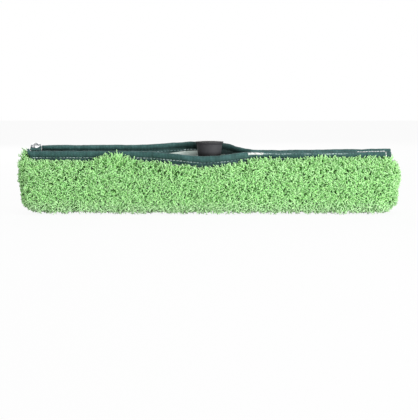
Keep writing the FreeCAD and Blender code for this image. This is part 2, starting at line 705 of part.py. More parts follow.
def make_press_stud():
    gauge = size("tab_gauge")
    knob_bore = "sizes.stud_radius + sizes.stud_gap"
    socket_floor = "sizes.stud_height + sizes.stud_gap - sizes.cloth_gap"
    return [
        snap_part("snap_cap", gauge, (
            ("0", "-sizes.tab_gauge"),
            ("sizes.stem_radius", "-sizes.tab_gauge"),
            ("sizes.stem_radius", "0"),
            ("sizes.cap_radius", "0"),
            ("sizes.cap_radius", "sizes.cap_rim"),
            (f"sizes.cap_radius * {DOME_SHARE}", "sizes.cap_height - sizes.cap_rim / 2"),
            ("0", "sizes.cap_height"),
        )),
        snap_part("snap_socket", -size("snap_socket_height"), (
            (knob_bore, "0"),
            ("sizes.snap_socket_radius", "0"),
            ("sizes.snap_socket_radius", "sizes.snap_socket_height"),
            ("0", "sizes.snap_socket_height"),
            ("0", socket_floor),
            (knob_bore, socket_floor),
        )),
        snap_part("snap_stud", stud_seat, (
            ("0", "0"),
            ("sizes.stud_flange_radius", "0"),
            ("sizes.stud_flange_radius", "sizes.stud_flange_gauge"),
            ("sizes.stud_radius", "sizes.stud_flange_gauge"),
            ("sizes.stud_radius", "sizes.stud_flange_gauge + sizes.stud_height / 2"),
            (f"sizes.stud_radius * {KNOB_SHARE}", "sizes.stud_flange_gauge + sizes.stud_height"),
            ("0", "sizes.stud_flange_gauge + sizes.stud_height"),
        )),
        snap_part("snap_post", stud_seat - gauge - size("post_gauge"), (
            ("0", "0"),
            ("sizes.post_radius", "0"),
            ("sizes.post_radius", "sizes.post_gauge"),
            ("sizes.post_stem_radius", "sizes.post_gauge"),
            ("sizes.post_stem_radius", "sizes.post_gauge + sizes.tab_gauge"),
            ("0", "sizes.post_gauge + sizes.tab_gauge"),
        )),
    ]


def main():
    made = [make_arm("left_arm", -1), make_arm("right_arm", 1), make_hub(),
            make_end_cap("left_end_cap", -1), make_end_cap("right_end_cap", 1),
            group("arm_rivets", [make_rivet("left_rivet", -1), make_rivet("right_rivet", 1)]),
            make_pole_socket(), make_pivot_bolt(), make_pivot_nut(), *make_rings(),
            *make_sleeve(), *make_tabs(), *make_press_stud()]
    doc.recompute()
    faulty = [o.Label for o in doc.Objects if {"Invalid", "Error"} & set(o.State)]
    faulty += [o.Label for o in made if o.Shape.isNull() or not o.Shape.isValid() or not o.Shape.Solids]
    if faulty:
        raise RuntimeError(f"these pieces failed: {sorted(set(faulty))}")
    os.makedirs("parts", exist_ok=True)
    for piece in made:
        piece.Shape.exportStep(f"parts/{piece.Label}.step")
        box = piece.Shape.BoundBox
        print(f"{piece.Label:16s} {len(piece.Shape.Solids)} solid(s) {piece.Shape.Volume:10.1f} mm3"
              f"  x {box.XMin:.1f}..{box.XMax:.1f}  y {box.YMin:.1f}..{box.YMax:.1f}"
              f"  z {box.ZMin:.1f}..{box.ZMax:.1f}")


main()
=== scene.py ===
import json
import math
from functools import partial

import bpy
import numpy as np
from mathutils import Matrix, Vector

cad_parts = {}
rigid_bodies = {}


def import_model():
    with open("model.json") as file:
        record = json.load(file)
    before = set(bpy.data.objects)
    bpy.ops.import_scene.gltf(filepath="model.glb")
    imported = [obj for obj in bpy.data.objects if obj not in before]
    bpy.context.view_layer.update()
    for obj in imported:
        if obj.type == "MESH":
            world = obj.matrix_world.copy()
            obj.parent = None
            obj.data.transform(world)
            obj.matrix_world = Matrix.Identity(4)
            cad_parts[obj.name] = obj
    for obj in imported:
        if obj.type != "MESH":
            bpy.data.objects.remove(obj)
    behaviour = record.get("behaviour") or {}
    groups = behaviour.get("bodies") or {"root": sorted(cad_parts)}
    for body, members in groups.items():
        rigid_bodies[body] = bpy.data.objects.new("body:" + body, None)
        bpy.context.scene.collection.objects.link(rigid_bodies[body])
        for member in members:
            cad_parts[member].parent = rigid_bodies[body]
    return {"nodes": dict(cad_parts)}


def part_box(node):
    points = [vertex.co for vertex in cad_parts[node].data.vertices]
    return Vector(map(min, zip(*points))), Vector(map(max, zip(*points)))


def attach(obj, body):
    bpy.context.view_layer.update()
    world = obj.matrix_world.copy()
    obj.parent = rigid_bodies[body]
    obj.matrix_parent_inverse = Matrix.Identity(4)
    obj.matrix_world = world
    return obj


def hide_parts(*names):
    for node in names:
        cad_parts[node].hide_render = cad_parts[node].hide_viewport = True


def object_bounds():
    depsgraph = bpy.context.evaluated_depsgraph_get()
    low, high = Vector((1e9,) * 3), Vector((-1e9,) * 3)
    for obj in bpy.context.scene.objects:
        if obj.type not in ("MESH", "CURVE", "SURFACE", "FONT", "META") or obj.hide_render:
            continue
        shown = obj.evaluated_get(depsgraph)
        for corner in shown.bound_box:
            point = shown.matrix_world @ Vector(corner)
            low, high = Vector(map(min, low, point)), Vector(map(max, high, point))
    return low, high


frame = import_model()
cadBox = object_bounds()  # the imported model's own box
cadNodes = frame["nodes"]
mm = 0.001  # everything in the scene is in metres
mergeGap = 0.01 * mm  # vertices closer than this become one


# small helpers

def clamp(value):
    return min(max(value, 0), 1)


def between(rows, x):
    # the value at a place along the sleeve, from rows of (place, value)
    for (lowX, low), (highX, high) in zip(rows, rows[1:]):
        if x < highX:
            return low + (high - low) * max(x - lowX, 0) / (highX - lowX)
    return rows[-1][1]


def pickOnly(obj):
    bpy.ops.object.select_all(action="DESELECT")
    obj.select_set(True)
    bpy.context.view_layer.objects.active = obj


def applyModifier(obj, kind, **settings):
    pickOnly(obj)
    modifier = obj.modifiers.new(kind.title(), kind)
    for key, value in settings.items():
        setattr(modifier, key, value)
    bpy.ops.object.modifier_apply(modifier=modifier.name)


def editMode():
    bpy.ops.object.mode_set(mode="EDIT")


def objectMode():
    bpy.ops.object.mode_set(mode="OBJECT")


def editAll(obj):
    pickOnly(obj)
    editMode()
    bpy.ops.mesh.select_all(action="SELECT")


def pickNothing(obj, kind):
    # clears the picks inside a mesh, so that code can pick its vertices or faces
    pickOnly(obj)
    editMode()
    bpy.ops.mesh.select_mode(type=kind)
    bpy.ops.mesh.select_all(action="DESELECT")
    objectMode()


def deleteFaces(obj, unwanted):
    # unwanted says of a face whether it goes
    pickNothing(obj, "FACE")
    for face in obj.data.polygons:
        face.select = unwanted(face)
    editMode()
    bpy.ops.mesh.delete(type="FACE")
    objectMode()


def newest(name):
    # the object that an operator has just added
    obj = bpy.context.view_layer.objects.active
    obj.name = name
    return obj


def copyMesh(name, source):
    copy = bpy.data.objects.new(name, source.data.copy())
    bpy.context.scene.collection.objects.link(copy)
    return copy


def joinAll(name, copies):
    pickOnly(copies[0])
    for copy in copies[1:]:
        copy.select_set(True)
    if len(copies) > 1:
        bpy.ops.object.join()
    copies[0].name = name
    return copies[0]


def copyNodes(name, *nodeNames):
    # a merged copy of CAD nodes, to be softened: the nodes themselves stay as they are
    piece = joinAll(name, [copyMesh(name, cadNodes[nodeName]) for nodeName in nodeNames])
    piece.data.name = name
    piece.data.materials.clear()
    editAll(piece)
    bpy.ops.mesh.remove_doubles(threshold=mergeGap)
    objectMode()
    return piece


def soften(piece, voxel, rounds):
    applyModifier(piece, "REMESH", mode="VOXEL", voxel_size=voxel)
    applyModifier(piece, "SMOOTH", factor=0.5, iterations=rounds)


def cloudTexture(name, size):
    texture = bpy.data.textures.new(name, "CLOUDS")
    texture.noise_scale = size
    texture.noise_depth = 2
    return texture


def finishPiece(piece, body, material, replaced=()):
    if material:
        piece.data.materials.clear()
        piece.data.materials.append(material)
    pickOnly(piece)
    bpy.ops.object.shade_smooth()
    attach(piece, body)
    if replaced:
        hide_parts(*replaced)


# materials

multiply = {"data_type": "RGBA", "blend_type": "MULTIPLY", 0: 1.0}  # a Mix node that tints
waveBands = 20  # a Wave node draws about this many bands where a noise has one feature


def srgb(hexColour):
    channels = [int(hexColour[i:i + 2], 16) / 255 for i in (1, 3, 5)]
    return (*[c / 12.92 if c <= 0.04045 else ((c + 0.055) / 1.055) ** 2.4 for c in channels], 1)


def perMm(size):
    return 1 / (size * mm)  # a texture scale whose features are about that many millimetres


def addNode(tree, kind, settings=None, **links):
    # settings are attributes, inputs by name or number, or a colour ramp's stops;
    # links are input=(node, output)
    made = tree.nodes.new(kind)
    for key, value in (settings or {}).items():
        if key == "stops":
            elements = made.color_ramp.elements
            while len(elements) < len(value):
                elements.new(0.5)
            for element, (place, hexColour) in zip(elements, value):
                element.position = place
                element.color = srgb(hexColour)
        elif isinstance(key, str) and hasattr(made, key):
            setattr(made, key, value)
        else:
            made.inputs[key].default_value = value
    for key, (source, output) in links.items():
        numbered = key.startswith("input")
        place = int(key.removeprefix("input")) if numbered else key.replace("_", " ")
        tree.links.new(source.outputs[output], made.inputs[place])
    return made


def newMaterial(name):
    material = bpy.data.materials.new(name)
    material.use_nodes = True
    material.node_tree.nodes.clear()
    return material, partial(addNode, material.node_tree)


def microfibrePile():
    # split polyester microfibre: matt, with painted shade darker at the roots, each strand a little
    # lighter or yellower, with painted light making it paler along the lower edge
    material, add = newMaterial("microfibre pile")
    along = add("ShaderNodeAttribute", {"attribute_name": "alongStrand"})
    tone = add("ShaderNodeAttribute", {"attribute_name": "strandTone"})
    # painted shade: the strands darken towards their roots
    lengthStops = ((0.0, pile["rootShadeColour"]), (0.55, pile["midColour"]), (1.0, pile["tipColour"]))
    length = add("ShaderNodeValToRGB", {"stops": lengthStops}, Fac=(along, "Fac"))
    tintStops = ((0.0, pile["darkTint"]), (0.5, "#ffffff"), (1.0, pile["lightTint"]))
    tint = add("ShaderNodeValToRGB", {"stops": tintStops}, Fac=(tone, "Fac"))
    mixed = add("ShaderNodeMix", multiply, input6=(length, "Color"), input7=(tint, "Color"))
    coords = add("ShaderNodeTexCoord")
    height = add("ShaderNodeSeparateXYZ", input0=(coords, "Object"))
    # painted light: paler towards the bottom of the sleeve
    bottomLight = add("ShaderNodeMapRange",
                 {"From Min": pile["bottomLightHeight"], "From Max": 0.0, "To Max": pile["bottomLightShare"]},
                 Value=(height, "Z"))
    bottomLit = add("ShaderNodeMix", {"data_type": "RGBA", 7: srgb(pile["paleColour"])},
                input0=(bottomLight, "Result"), input6=(mixed, 2))
    # the fuzz is drawn far coarser than real microfibre, so that it shows
    fuzz = add("ShaderNodeTexNoise", {"Scale": perMm(0.5), "Detail": 3.0},
               Vector=(coords, "Object"))
    bump = add("ShaderNodeBump", {"Strength": 0.6, "Distance": 0.3 * mm}, Height=(fuzz, "Fac"))
    shader = add("ShaderNodeBsdfPrincipled",
                 {"Roughness": 0.95, "Sheen Weight": 0.25, "Sheen Roughness": 0.6,
                  "IOR": 1.5, "Specular IOR Level": 0.15},
                 Base_Color=(bottomLit, 2), Normal=(bump, "Normal"))
    add("ShaderNodeOutputMaterial", Surface=(shader, "BSDF"))
    return material


def knittedBacking():
    # the knitted ground the pile grows from: the same green in the shade of its own strands
    material, add = newMaterial("knitted pile backing")
    coords = add("ShaderNodeTexCoord")
    knit = add("ShaderNodeTexVoronoi", {"Scale": perMm(1.6)}, Vector=(coords, "Object"))
    knitStops = ((0.0, pile["backingDark"]), (1.0, pile["backingLight"]))
    colour = add("ShaderNodeValToRGB", {"stops": knitStops}, Fac=(knit, "Distance"))
    bump = add("ShaderNodeBump", {"Strength": 0.8, "Distance": 0.5 * mm}, Height=(knit, "Distance"))
    shader = add("ShaderNodeBsdfPrincipled",
                 {"Roughness": 1.0, "IOR": 1.5, "Specular IOR Level": 0.1},
                 Base_Color=(colour, "Color"), Normal=(bump, "Normal"))
    add("ShaderNodeOutputMaterial", Surface=(shader, "BSDF"))
    return material


def polyesterTape():
    # folded polyester binding: fine cross ribs, a faint dull shine, paler where worn by rubbing,
    # with painted shade in its folds, under the rear bead, beside the socket and on the front
    # bead's lower part
    material, add = newMaterial("polyester binding tape")
    coords = add("ShaderNodeTexCoord")
    ribs = add("ShaderNodeTexWave",
               {"wave_type": "BANDS", "bands_direction": "X",
                "Scale": perMm(tape["ribSpacing"]) / waveBands, "Distortion": 1.5,
                "Detail": 2.0}, Vector=(coords, "Object"))
    wear = add("ShaderNodeTexNoise",
               {"Scale": perMm(9), "Detail": 5.0, "Roughness": 0.65}, Vector=(coords, "Object"))
    wearStops = ((0.3, tape["darkColour"]), (0.55, tape["colour"]), (0.8, tape["paleColour"]))
    colour = add("ShaderNodeValToRGB", {"stops": wearStops}, Fac=(wear, "Fac"))
    ribTone = add("ShaderNodeValToRGB", {"stops": ((0.0, "#ececec"), (1.0, "#ffffff"))},
                  Fac=(ribs, "Fac"))
    ribbed = add("ShaderNodeMix", multiply, input6=(colour, "Color"), input7=(ribTone, "Color"))
    # painted shade from the tape's darkening attribute: folds, under the rear bead, by the socket,
    # lower front bead
    soil = add("ShaderNodeAttribute", {"attribute_name": "soil"})
    tapeShadeStops = ((0.0, "#ffffff"), (1.0, tape["shadeTint"]))
    tapeShadeTone = add("ShaderNodeValToRGB", {"stops": tapeShadeStops}, Fac=(soil, "Fac"))
    mixed = add("ShaderNodeMix", multiply, input6=(ribbed, 2), input7=(tapeShadeTone, "Color"))
    bump = add("ShaderNodeBump", {"Strength": 0.25, "Distance": 0.2 * mm}, Height=(ribs, "Fac"))
    shader = add("ShaderNodeBsdfPrincipled",
                 {"Roughness": 0.7, "Sheen Weight": 0.2, "Sheen Roughness": 0.4,
                  "IOR": 1.5, "Specular IOR Level": 0.3},
                 Base_Color=(mixed, 2), Normal=(bump, "Normal"))
    add("ShaderNodeOutputMaterial", Surface=(shader, "BSDF"))
    return material


def cottonLining():
    # pale plain-weave cotton: over and under threads, a little grey from use, with painted shade
    # right of the socket
    material, add = newMaterial("plain weave cotton lining")
    coords = add("ShaderNodeTexCoord")
    # threads of 0.7 mm, about twice the real ones, so that the weave shows
    weave = add("ShaderNodeTexBrick",
                {"Scale": perMm(1), "Mortar Size": 0.08, "Brick Width": 1.4, "Row Height": 0.7},
                Vector=(coords, "Object"))
    grey = add("ShaderNodeTexNoise", {"Scale": perMm(14), "Detail": 4.0}, Vector=(coords, "Object"))
    greyStops = ((0.3, lining["greyColour"]), (0.7, lining["colour"]))
    colour = add("ShaderNodeValToRGB", {"stops": greyStops}, Fac=(grey, "Fac"))
    # painted shade right of the socket
    place = add("ShaderNodeSeparateXYZ", input0=(coords, "Object"))
    rightShaded = add("ShaderNodeMapRange",
                 {"From Min": lining["rightShadeStart"], "From Max": lining["rightShadeEnd"]}, Value=(place, "X"))
    rightShadeStops = ((0.0, "#ffffff"), (1.0, lining["rightShadeTint"]))
    rightShadeTone = add("ShaderNodeValToRGB", {"stops": rightShadeStops}, Fac=(rightShaded, "Result"))
    mixed = add("ShaderNodeMix", multiply, input6=(colour, "Color"), input7=(rightShadeTone, "Color"))
    bump = add("ShaderNodeBump", {"Strength": 0.4, "Distance": 0.2 * mm}, Height=(weave, "Fac"))
    shader = add("ShaderNodeBsdfPrincipled",
                 {"Roughness": 0.9, "Sheen Weight": 0.15, "IOR": 1.5, "Specular IOR Level": 0.2},
                 Base_Color=(mixed, 2), Normal=(bump, "Normal"))
    add("ShaderNodeOutputMaterial", Surface=(shader, "BSDF"))
    return material


def spunThread(name, light, dark):
    # spun sewing thread: twisted, matt, a shaded groove between its plies, soiled in stretches
    material, add = newMaterial(name)
    coords = add("ShaderNodeTexCoord")
    twist = add("ShaderNodeTexWave",
                {"bands_direction": "DIAGONAL", "Scale": perMm(0.6) / waveBands},
                Vector=(coords, "Object"))
    plies = add("ShaderNodeValToRGB", {"stops": ((0.0, "#d2d2d2"), (0.6, "#ffffff"))},
                Fac=(twist, "Fac"))
    soil = add("ShaderNodeTexNoise", {"Scale": perMm(24), "Detail": 3.0}, Vector=(coords, "Object"))
    tone = add("ShaderNodeValToRGB", {"stops": ((0.42, dark), (0.58, light))}, Fac=(soil, "Fac"))
    mixed = add("ShaderNodeMix", multiply, input6=(tone, "Color"), input7=(plies, "Color"))
    bump = add("ShaderNodeBump", {"Strength": 0.5, "Distance": 0.1 * mm}, Height=(twist, "Fac"))
    shader = add("ShaderNodeBsdfPrincipled", {"Roughness": 0.75, "Sheen Weight": 0.1, "IOR": 1.5},
                 Base_Color=(mixed, 2), Normal=(bump, "Normal"))
    add("ShaderNodeOutputMaterial", Surface=(shader, "BSDF"))
    return material


def mouldedPlastic(name, colour, scuffed, roughness, rimHeight=None):
    # injection-moulded plastic: fine spark texture, faint scuffs, darker at a mouth, and painted
    # shade low down, where the cloth stands beside it
    material, add = newMaterial(name)
    coords = add("ShaderNodeTexCoord")
    # the spark texture is drawn coarser than the real 0.1 mm, so that it shows
    spark = add("ShaderNodeTexNoise", {"Scale": perMm(0.7), "Detail": 4.0},
                Vector=(coords, "Object"))
    scuffs = add("ShaderNodeTexNoise",
                 {"Scale": perMm(7), "Detail": 6.0, "Roughness": 0.7}, Vector=(coords, "Object"))
    tone = add("ShaderNodeValToRGB", {"stops": ((0.45, colour), (0.8, scuffed))},
               Fac=(scuffs, "Fac"))
    rough = add("ShaderNodeMapRange",
                {"To Min": roughness - 0.06, "To Max": roughness + 0.1}, Value=(scuffs, "Fac"))
    bump = add("ShaderNodeBump", {"Strength": 0.25, "Distance": 0.12 * mm}, Height=(spark, "Fac"))
    shown = (tone, "Color")
    # painted shade low down, where the cloth stands beside it, and darker at the mouth
    if rimHeight:
        height = add("ShaderNodeSeparateXYZ", input0=(coords, "Object"))
        level = add("ShaderNodeMapRange",
                    {"From Min": rimHeight - hard["shadeDepth"], "From Max": rimHeight},
                    Value=(height, "Z"))
        shadeAndRim = add("ShaderNodeValToRGB", {"stops": hard["shadeAndRimStops"]}, Fac=(level, "Result"))
        withShadeAndRim = add("ShaderNodeMix", multiply, input6=shown, input7=(shadeAndRim, "Color"))
        shown = (withShadeAndRim, 2)
    shader = add("ShaderNodeBsdfPrincipled", {"IOR": 1.5}, Base_Color=shown,
                 Roughness=(rough, "Result"), Normal=(bump, "Normal"))
    add("ShaderNodeOutputMaterial", Surface=(shader, "BSDF"))
    return material


def metal(name, colour, shaded, roughness, grain):
    # metal: marks that break up its reflections, handling marks and tarnish on zinc and aluminium,
    # and on the plated brass painted reflections of dark surroundings
    material, add = newMaterial(name)
    coords = add("ShaderNodeTexCoord")
    marks = add("ShaderNodeTexNoise", {"Scale": perMm(grain), "Detail": 5.0},
                Vector=(coords, "Object"))
    tone = add("ShaderNodeValToRGB", {"stops": ((0.35, shaded), (0.65, colour))},
               Fac=(marks, "Fac"))
    rough = add("ShaderNodeMapRange",
                {"To Min": roughness * 0.7, "To Max": roughness * 1.4}, Value=(marks, "Fac"))
    bump = add("ShaderNodeBump", {"Strength": 0.1, "Distance": 0.05 * mm}, Height=(marks, "Fac"))
    shader = add("ShaderNodeBsdfPrincipled", {"Metallic": 1.0},
                 Base_Color=(tone, "Color"), Roughness=(rough, "Result"), Normal=(bump, "Normal"))
    add("ShaderNodeOutputMaterial", Surface=(shader, "BSDF"))
    return material


# the pile: a knitted backing that holds thousands of separate strands

pile = {
    "voxel": 3.0 * mm,
    "inset": 5.5 * mm,  # the backing's depth under the tips
    "edgeInset": 2.0 * mm,  # the same, beside the bindings
    "cornerRound": 18.0 * mm,  # the ends' lower corners, seen from the front
    "cornerSkip": 0.4,  # how far into a corner its strands start to shorten
    "endDraft": 3.0 * mm,  # how far the ends' lower halves are drawn in
    "draftHeight": 40.0 * mm,  # where that starts, and over how much height it grows
    "draftBlend": 12.0 * mm,
    "underSlack": 0.4 * mm,  # cloth this little past a binding's side still lies under it
    "underReach": 8.0 * mm,  # and this far below it
    "underside": -0.7,  # normals lower than this are on the underside
    "endTop": 0.3,  # normals higher than this are on an end's top
    "strandLength": 8.0 * mm,
    "rootRadius": 0.72 * mm,
    "tipRadius": 0.64 * mm,
    "tipShare": 0.2,  # the pointed tip, of one step
    "sides": 3,
    "steps": 4,
    "kinds": 6,
    "bendLeast": 0.4,  # how far a strand bends over, of a step, and how much more each kind does
    "bendStep": 0.22,
    "twistStep": 0.6,  # radians
    "girths": (0.8, 1.2),  # least and most of the strands' thickness and length
    "lengths": (0.75, 1.15),
    "spacing": 1.0 * mm,
    "tuftSpacing": 1.2 * mm,
    "crowding": 3,  # candidate points in a square of that spacing
    "stand": 1.0,  # how far the strands stand off the backing; less lays them flatter
    "lean": 0.8,  # how far neighbours lean together
    "leanGain": 4,  # makes up for the noise's narrow range
    "jitter": 0.8,  # how far each strand leans on its own
    "lockSize": 10.0,  # millimetres across a lock of strands that lean together
    "sag": 0.15,  # of the strands away from the bindings
    "edgeZone": 9.0 * mm,  # beside the bindings, where strands stand up
    "edgeWay": (0.6, 1.2),  # away from the slit, and up
    "touch": 1.0 * mm,  # this near to a binding is right beside it
    "endReach": 0.4,  # strands of the two ends, of the full length
    "cornerReach": 1.15,  # strands of the left end's top, which stand as high as the binding
    "cornerWay": (0.1, 0.3, 1.2),  # to the right, a share of the normal outwards, and up
    "baseReach": 0.75,  # strands pressed under the sleeve
    "footHeight": 16.0 * mm,  # below which the sleeve's weight splays the strands outwards
    "footRise": 0.35,  # how steeply they rise there
    "floorGap": 0.2 * mm,  # the lowest a strand reaches
    # places along the sleeve and the reach there of the strands beside the bindings
    "edgeReaches": ((-0.22, 0.75), (-0.15, 0.6), (-0.06, 0.75), (-0.015, 0.65), (0, 0.5),
                    (0.015, 0.75), (0.06, 1.15), (0.13, 1.35), (0.2, 1.25)),
    "slitClear": 4.0 * mm,  # strands are kept this far below the slit's edges
    "slitSlope": 3,  # and farther towards its middle
    "slitStart": 4.0 * mm,  # from the front binding's left end to past its right end
    "slitPast": 0.5 * mm,
    "bays": 9,  # pieces along the sleeve
    "firstSeed": 40,
    "seedStep": 10,
    "tuftSeed": 20,
    "tuftPlace": -114.5 * mm,  # the lock that stands up over the front binding
    "tuftWidth": 25 * mm,
    "tuftZone": 13.0 * mm,
    "tuftWay": (1.3, -0.4, 2.2),  # spread along the sleeve, across it, and up
    "tuftReach": 2.25,
    "tuftFrom": 1.4,  # longer strands than this are the tuft's
    # darker with painted shade at the roots
    "rootShadeColour": "#72b95d",
    "midColour": "#b9f5a1",
    "tipColour": "#cbffb9",
    "darkTint": "#dcebd2",
    "lightTint": "#fffff0",
    "paleColour": "#e2ffd6",  # painted light along the lower edge
    "bottomLightHeight": 20 * mm,
    "bottomLightShare": 0.6,
    "backingDark": "#3d7a33",
    "backingLight": "#5c9c4d",
}


def toBinding(place):
    # the nearest point of either binding, and -1 for the front one or 1 for the rear one
    front = cadNodes["front_binding"].closest_point_on_mesh(place)[1]
    rear = cadNodes["rear_binding"].closest_point_on_mesh(place)[1]
    if (front - place).length < (rear - place).length:
        return front, -1
    return rear, 1


def onOutside(place, normal, middleHeight, sleeveEnd):
    # true on the sleeve's outside and ends, not on the walls of its hollow or under the bindings
    if abs(place.x) > sleeveEnd:
        onRim = abs(normal.z) > pile["endTop"] or normal.y * place.y > 0
        return normal.x * place.x > 0 or onRim
    near, face = toBinding(place)
    beside = face * (place.y - near.y) < pile["underSlack"]
    under = near.z > place.z and beside and (near - place).length < pile["underReach"]
    return not under and normal.y * place.y + normal.z * (place.z - middleHeight) > 0


def nearness(distance, reach):
    return clamp(1 - (distance - pile["touch"]) / reach)


def roundCorners(backing):
    # draws the ends' lower halves in a little and brings their square lower corners in to an arc
    size, end = pile["cornerRound"], cadBox[1][0] - pile["endDraft"]
    arcStart = end - size
    for vertex in backing.data.vertices:
        nearEnd = clamp((abs(vertex.co.x) - arcStart) / size)
        below = clamp((pile["draftHeight"] - vertex.co.z) / pile["draftBlend"])
        vertex.co.x -= math.copysign(pile["endDraft"] * nearEnd * below, vertex.co.x)
        out = (abs(vertex.co.x) - arcStart) / size
        down = (size - vertex.co.z) / size
        if out > 0 and down > 0:
            share = max(out, down) / math.hypot(out, down)
            vertex.co.x = math.copysign(arcStart + out * share * size, vertex.co.x)
            vertex.co.z = size - down * share * size


def strandAt(place, normal, sleeveEnd):
    # which way a strand grows there, how long it is, and how near to a binding it stands
    near, face = toBinding(place)
    distance = (near - place).length
    onEnd = abs(place.x) > sleeveEnd
    closeness = 0 if onEnd else nearness(distance, pile["edgeZone"])
    away, up = pile["edgeWay"]
    upright = Vector((0, away * face, up))
    sag = Vector((0, 0, -pile["sag"]))
    growth = normal * pile["stand"] + upright * closeness + sag * (1 - closeness)
    splayed = clamp(1 - place.z / pile["footHeight"])
    growth = growth.lerp(Vector((0, math.copysign(1, place.y), pile["footRise"])), splayed)
    length = pile["endReach"] if onEnd else 1.0
    if normal.z < pile["underside"]:
        length = pile["baseReach"]
    if onEnd and place.x < 0 and normal.z > pile["endTop"]:
        length = pile["cornerReach"]
        right, slope, up = pile["cornerWay"]
        growth = Vector((right, normal.y * slope, up))
    length += (between(pile["edgeReaches"], place.x) - 1) * closeness
    out = (abs(place.x) - sleeveEnd) / pile["cornerRound"] + 1
    down = 1 - place.z / pile["cornerRound"]
    if out > 0 and down > 0:
        inCorner = min(out + down - pile["cornerSkip"], 1)
        length += (pile["endReach"] - length) * inCorner * min(out, 1)
    fromTuft = (place.x - pile["tuftPlace"]) / pile["tuftWidth"]
    if face < 0 and abs(fromTuft) < 1:
        share = nearness(distance, pile["tuftZone"]) * (1 - fromTuft ** 2)
        spread, across, up = pile["tuftWay"]
        growth = growth.lerp(Vector((spread * fromTuft, across, up)), share)
        length += (pile["tuftReach"] - length) * share
    return growth, length, closeness


def makeBacking():
    backing = copyNodes("pileBacking", "pile_sleeve", "left_end_panel", "right_end_panel")
    soften(backing, pile["voxel"], 4)
    roundCorners(backing)
    low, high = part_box("pile_sleeve")
    middleHeight, sleeveEnd = (low[2] + high[2]) / 2, high[0]
    outside = backing.vertex_groups.new(name="outside")
    ways, reaches = [], []
    for vertex in backing.data.vertices:
        place, normal = vertex.co, vertex.normal
        if not onOutside(place, normal, middleHeight, sleeveEnd):
            ways.extend(normal)
            reaches.append(0)
            continue
        growth, length, closeness = strandAt(place, normal, sleeveEnd)
        ways.extend(growth)
        reaches.append(length)
        inset = pile["inset"] + (pile["edgeInset"] - pile["inset"]) * closeness
        outside.add([vertex.index], inset / pile["inset"], "REPLACE")
    attributes = backing.data.attributes
    attributes.new("strandWay", "FLOAT_VECTOR", "POINT").data.foreach_set("vector", ways)
    attributes.new("strandReach", "FLOAT", "POINT").data.foreach_set("value", reaches)
    applyModifier(backing, "DISPLACE", strength=-pile["inset"], mid_level=0,
                  vertex_group="outside")
    applyModifier(backing, "SMOOTH", factor=0.5, iterations=2)
    return backing


def makeStrand(index):
    # a ring drawn out and narrowed step by step, bent more in each kind, closed at its tip
    bpy.ops.mesh.primitive_circle_add(vertices=pile["sides"], radius=pile["rootRadius"],
                                      fill_type="NGON")
    strand = newest(f"strand{index}")
    rise = pile["strandLength"] / pile["steps"]
    bend = (pile["bendLeast"] + pile["bendStep"] * index) * rise
    shrink = (pile["tipRadius"] / pile["rootRadius"]) ** (1 / pile["steps"])
    editAll(strand)
    for step in range(pile["steps"]):
        over, turn = bend * step / 2, pile["twistStep"] * index * step
        shift = (over * math.cos(turn), over * math.sin(turn), rise)
        bpy.ops.mesh.extrude_region_move(TRANSFORM_OT_translate={"value": shift})
        bpy.ops.transform.resize(value=(shrink, shrink, 1))
    point = (0, 0, rise * pile["tipShare"])
    bpy.ops.mesh.extrude_region_move(TRANSFORM_OT_translate={"value": point})
    bpy.ops.mesh.merge(type="CENTER")
    bpy.ops.mesh.select_all(action="SELECT")
    bpy.ops.mesh.normals_make_consistent(inside=False)
    objectMode()
    along = strand.data.attributes.new("alongStrand", "FLOAT", "POINT")
    top = max(v.co.z for v in strand.data.vertices)
    for vertex in strand.data.vertices:
        along.data[vertex.index].value = vertex.co.z / top
    bpy.ops.object.shade_smooth()
    return strand


